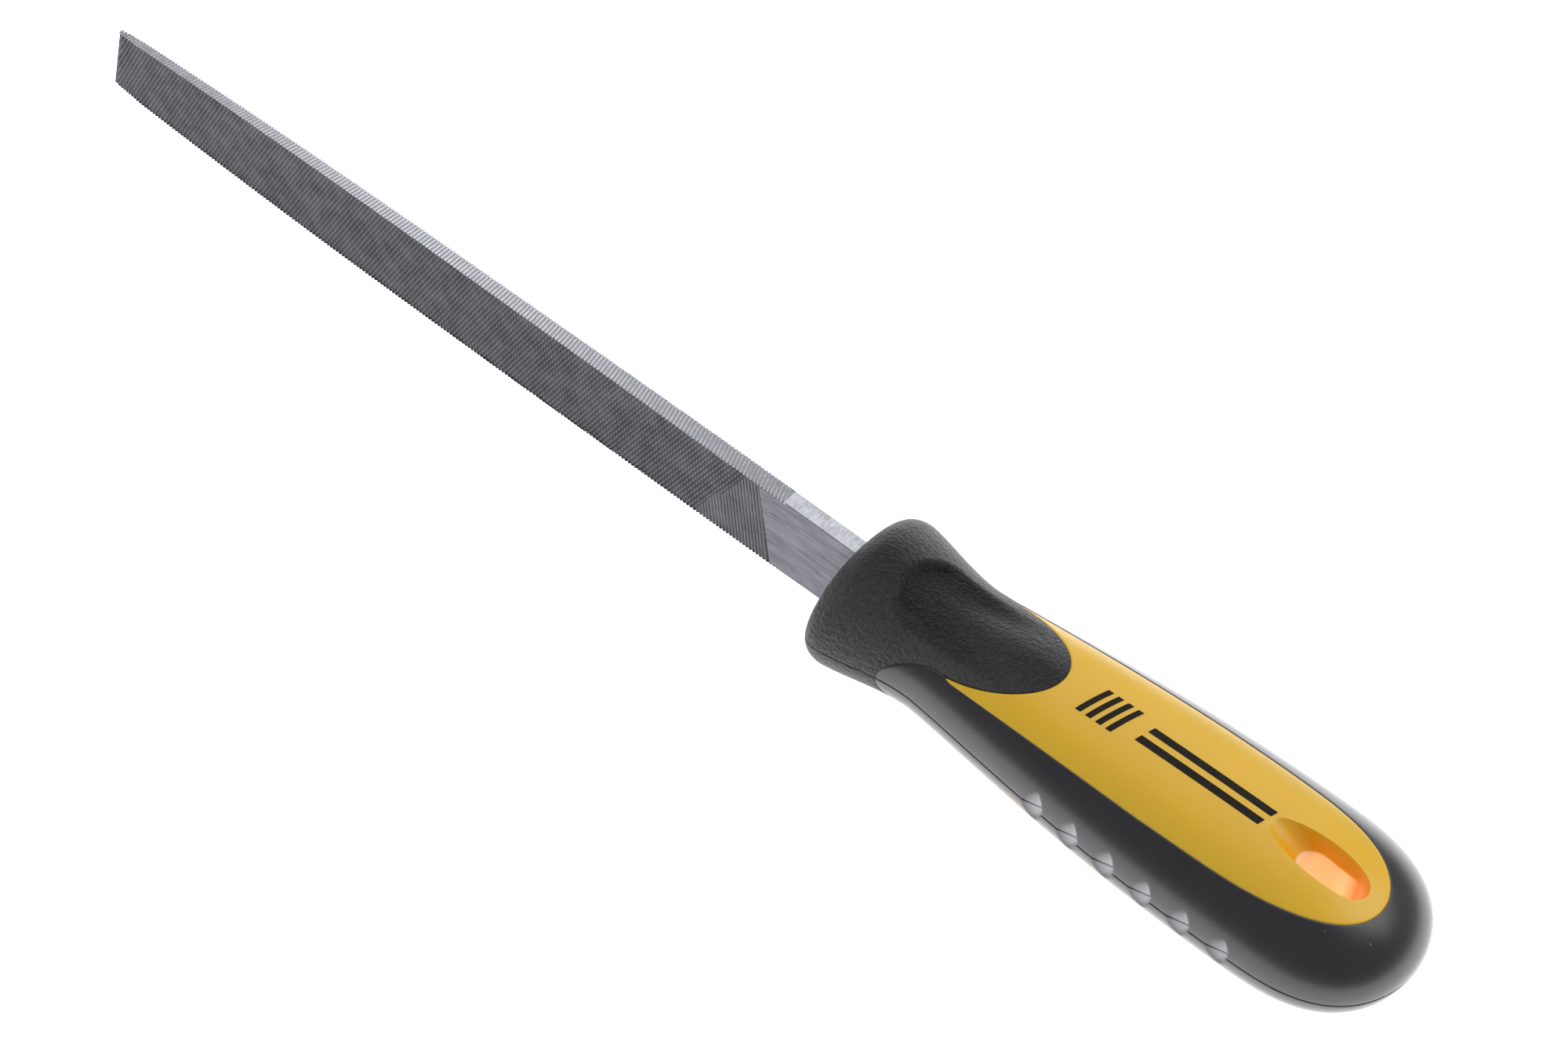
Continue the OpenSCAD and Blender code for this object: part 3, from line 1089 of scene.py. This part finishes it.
def holeRing(low, high, half, share, z):
    # a long ring from x low to x high: round-ended at the throat, drop-shaped at the rim
    ring = []
    for turn in np.linspace(0, 2 * np.pi, 56, endpoint=False):
        centre = high - half if cos(turn) > 0 else low + half
        throat = np.array((centre + half * cos(turn), half * sin(turn)))
        wide = half * abs(sin(turn)) ** 0.85 * (1 + 0.1 * cos(turn)) * (1 if sin(turn) > 0 else -1)
        drop = np.array(((low + high) / 2 + (high - low) / 2 * cos(turn), wide))
        point = drop + (throat - drop) * np.clip(share, 0, 1)
        ring.append((point[0], point[1], z))
    return ring


def holeCutter():
    top = float(halfSize(np.float64(core["slotAt"]), 1))
    throat = core["slotWide"] / 2
    rim = core["dishWide"] / 2
    ends = core["slotAt"] - core["slotLong"] / 2, core["slotAt"] + core["slotLong"] / 2
    far = core["slotAt"] - core["dishReach"], ends[1] + 0.7
    rings = []
    # depth under the face, and how far the outline has closed from the rim to the throat
    for depth, share in (
        (-1.6, -0.35), (-0.4, -0.12), (-0.12, -0.03), (0.1, 0.05), (0.6, 0.24), (1.1, 0.42),
        (1.6, 0.58), (2.1, 0.73), (2.55, 0.86), (2.85, 0.95), (3.15, 1), (3.6, 1),
    ):
        low = far[0] + (ends[0] - far[0]) * share
        high = far[1] + (ends[1] - far[1]) * share
        half = rim + (throat - rim) * share
        rings.append(holeRing(low, high, half, share, top - depth))
    mirrored = [[(x, y, -z) for x, y, z in ring] for ring in reversed(rings)]
    return loftSolid("holeCutter", rings + mirrored)


def buriedCore():
    front, back = handleForm["frontWall"], handleLength - handleForm["skin"] - 0.02
    xs = front + (back - front) * ease(np.linspace(0, 1, 70))
    angles = np.linspace(0, 2 * np.pi, 72, endpoint=False)
    return loftSolid("buriedCore", [onSkin(x, angles, handleForm["skin"]) for x in xs])


def tangCutter():
    gap = core["tangGap"]
    start, end = blade["tangWide"]
    thick = blade["tangThick"] / 2 + gap
    low = handleForm["frontWall"]
    high = low + blade["tangLength"] + gap
    rings = [
        [(x, thick * sy, (half / 2 + gap) * sz) for sy, sz in ((-1, -1), (1, -1), (1, 1), (-1, 1))]
        for x, half in ((low - 1, start), (high, end))
    ]
    return loftSolid("tangCutter", rings)


def makeCore():
    piece = closedShell("handleCore", windowSheets())
    combine(piece, buriedCore(), "UNION")
    combine(piece, holeCutter(), "DIFFERENCE")
    combine(piece, tangCutter(), "DIFFERENCE")
    smoothShade(piece.data, 42)
    x, y, z = pointsOf(piece)
    level = np.sqrt(np.clip(1 - (y / np.maximum(halfSize(x, 0), 0.1)) ** 2, 0, 1)) * halfSize(x, 1)
    writeValues(piece, "under", np.clip(level - core["sunk"] - np.abs(z), 0, None))
    return piece


def makeYellowPlastic():
    material, bench, (x, y, z) = startMaterial("yellowPlastic")
    spot = bench.together(x, y, z)
    cloud = bench.noise(spot, 0.09, 3.0).between(0.3, 0.7)
    fine = bench.noise(spot, 1.6, 4.0)
    towardsEdge = (abs(y) / handleForm["window"]).between(0.55, 1.0)
    under = bench.attribute("under")
    # painted shade: deeper orange the further under the face
    depth = under.between(0.25, 2.0)
    # painted light: near white and glowing in the throat of the hole
    throat = under.between(core["dishDeep"] - 0.1, core["dishDeep"] + 0.2)
    # painted shade towards the long edges of the window, with a little cloudy tone
    edgeShadeAndCloud = (towardsEdge * 0.8 + cloud * 0.2).held()
    base = bench.mix(edgeShadeAndCloud, colour(*coreLook["face"]), colour(*coreLook["edge"]))
    base = bench.mix(depth, base, colour(*coreLook["deep"]))
    base = bench.mix(throat, base, colour(*coreLook["throat"]))
    specks = dust(bench, spot, 0.35, 0.15)
    lit = throat * (0.3 + 0.7 * (x - core["slotAt"]).between(-1, 5))     # brightest at the butt end
    finishMaterial(bench, {
        "Base Color": bench.mix(specks * 0.4, base, colour(250, 235, 190)),
        "Roughness": coreLook["roughness"] + (fine - 0.5) * 0.12,
        "Subsurface Weight": 0.12,
        "Subsurface Radius": (1.0, 0.5, 0.15),
        "Subsurface Scale": 0.0015,
        "Coat Weight": 0.18,
        "Coat Roughness": 0.3,
        "Emission Color": bench.mix(lit, (0, 0, 0, 1), colour(*coreLook["glow"])),
        "Emission Strength": 0.75,
        "Normal": bench.bump(fine, 0.012 * mm),
    })
    return material


# the plain print on the upper window
mark = {
    "barsFrom": 41.3,
    "barCount": 4,
    "barPitch": 1.75,
    "barWide": 0.95,
    "barHalf": 2.9,
    "lean": 0.28,                # of every stroke, x for each y
    "strokeFrom": 50.5,
    "strokeTo": 71.5,
    "strokeRows": ((-1.15, 0.62), (1.15, 0.62)),
    "raised": 0.035,
}


def onWindow(x, y, lift):
    z = halfSize(x, 1) * np.sqrt(1 - (y / halfSize(x, 0)) ** 2) - core["sunk"] + lift
    return np.stack([x, y, z], -1)


def printPatch(fromX, toX, middleY, halfY):
    across = np.linspace(-halfY, halfY, max(4, int(halfY * 5)))
    along = np.linspace(fromX, toX, max(4, int((toX - fromX) * 2.5)))
    x, y = np.meshgrid(along, middleY + across, indexing="ij")
    x = x + y * mark["lean"]
    return onWindow(x, y, mark["raised"]), onWindow(x, y, -0.03)


def makeMark():
    patches = []
    for i in range(mark["barCount"]):
        start = mark["barsFrom"] + i * mark["barPitch"]
        patches.append(printPatch(start, start + mark["barWide"], 0, mark["barHalf"]))
    for middle, half in mark["strokeRows"]:
        patches.append(printPatch(mark["strokeFrom"], mark["strokeTo"], middle, half))
    return closedShell("printedMark", patches)


def makePrintInk():
    material, bench, (x, y, z) = startMaterial("printInk")
    spot = bench.together(x, y, z)
    wearAndPaintedLight = bench.noise(spot, 2.4, 4.0, 0.7)
    finishMaterial(bench, {
        "Base Color": bench.mix(wearAndPaintedLight.between(0.45, 0.8) * 0.35, colour(24, 20, 17), colour(92, 72, 34)),
        "Roughness": 0.65 + (wearAndPaintedLight - 0.5) * 0.2,
        "Specular IOR Level": 0.2,
        "Normal": bench.bump(wearAndPaintedLight, 0.01 * mm),
    })
    return material


# camera, floor and lights
camera = {
    "azimuth": 34.77,
    "elevation": 50.93,
    "roll": 7.0,
    "lens": 81.6,
    "distance": 526.2,
    "aim": (-15.1, 0.9, 0.0),    # from the mouth
}

studio = {
    "sky": 0.36,
    "floor": (243, 243, 245),
    "floorGlow": 1.5,
}


def makeCamera():
    azimuth, elevation, roll = (radians(camera[key]) for key in ("azimuth", "elevation", "roll"))
    back = Vector((sin(azimuth) * cos(elevation), -cos(azimuth) * cos(elevation), sin(elevation)))
    level = Vector((cos(azimuth), sin(azimuth), 0))
    upright = back.cross(level)
    right = level * cos(roll) + upright * sin(roll)
    up = upright * cos(roll) - level * sin(roll)
    data = bpy.data.cameras.new("camera")
    data.lens, data.sensor_width = camera["lens"], 36
    data.clip_start, data.clip_end = 0.02, 20
    view = bpy.data.objects.new("camera", data)
    bpy.context.scene.collection.objects.link(view)
    turn = Matrix((right, up, back)).transposed().to_4x4()
    place = Vector(atPlace(camera["aim"])) + back * camera["distance"] * mm
    view.matrix_world = Matrix.Translation(place) @ turn
    bpy.context.scene.camera = view


def makeFloor():
    half, level = 4.0, -0.0002       # just under the part
    mesh = bpy.data.meshes.new("floor")
    corners = [(-half, -half, level), (half, -half, level), (half, half, level), (-half, half, level)]
    mesh.from_pydata(corners, [], [(0, 1, 2, 3)])
    floor = newObject("floor", mesh)
    material, bench, _ = startMaterial("floorCard")
    finishMaterial(bench, {
        "Base Color": colour(*studio["floor"]),
        "Roughness": 0.85,
        "Emission Color": (1, 1, 1, 1),
        "Emission Strength": studio["floorGlow"],
    })
    mesh.materials.append(material)
    floor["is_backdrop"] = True


def makeLight(name, place, aim, size, watts):
    data = bpy.data.lights.new(name, "AREA")
    data.shape, data.size, data.energy = "SQUARE", size, watts
    light = bpy.data.objects.new(name, data)
    bpy.context.scene.collection.objects.link(light)
    light.location = place
    light.rotation_mode = "QUATERNION"
    light.rotation_quaternion = (Vector(aim) - Vector(place)).to_track_quat("-Z", "Y")


def makeStudio():
    makeCamera()
    makeFloor()
    world = bpy.data.worlds.new("studioSky")
    world.use_nodes = True
    sky = world.node_tree.nodes["Background"]
    sky.inputs["Color"].default_value = (0.97, 0.98, 1.0, 1)
    sky.inputs["Strength"].default_value = studio["sky"]
    bpy.context.scene.world = world
    bpy.context.scene.view_settings.view_transform = "Standard"
    makeLight("topBox", (-0.36, 0.52, 0.78), (0, 0, 0), 1.1, 3.6)
    makeLight("backBox", (0.5, 0.5, 0.9), (0.05, 0, 0), 0.7, 3.4)


makeStudio()
print("studio made")


def addPiece(piece, material, node):
    if material is not None:
        piece.data.materials.clear()
        piece.data.materials.append(material)
        piece.data.polygons.foreach_set("material_index", np.zeros(len(piece.data.polygons), np.int32))
    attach(piece, "root")
    if node is not None:
        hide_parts(node)
    triangles = sum(len(face.vertices) - 2 for face in piece.data.polygons)
    print(piece.name, "made with", triangles, "triangles")


addPiece(makeBlade(), None, "file_blade")
addPiece(makeCollar(), makeCollarRubber(), "thumb_collar")
addPiece(makeGrip(), makeGripRubber(), "soft_grip")
addPiece(makeCore(), makeYellowPlastic(), "handle_core")
addPiece(makeMark(), makePrintInk(), None)

bpy.context.view_layer.update()
boxes = {"cad": cadBox, "visual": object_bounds()}
{name: [list(corner) for corner in box] for name, box in boxes.items()}
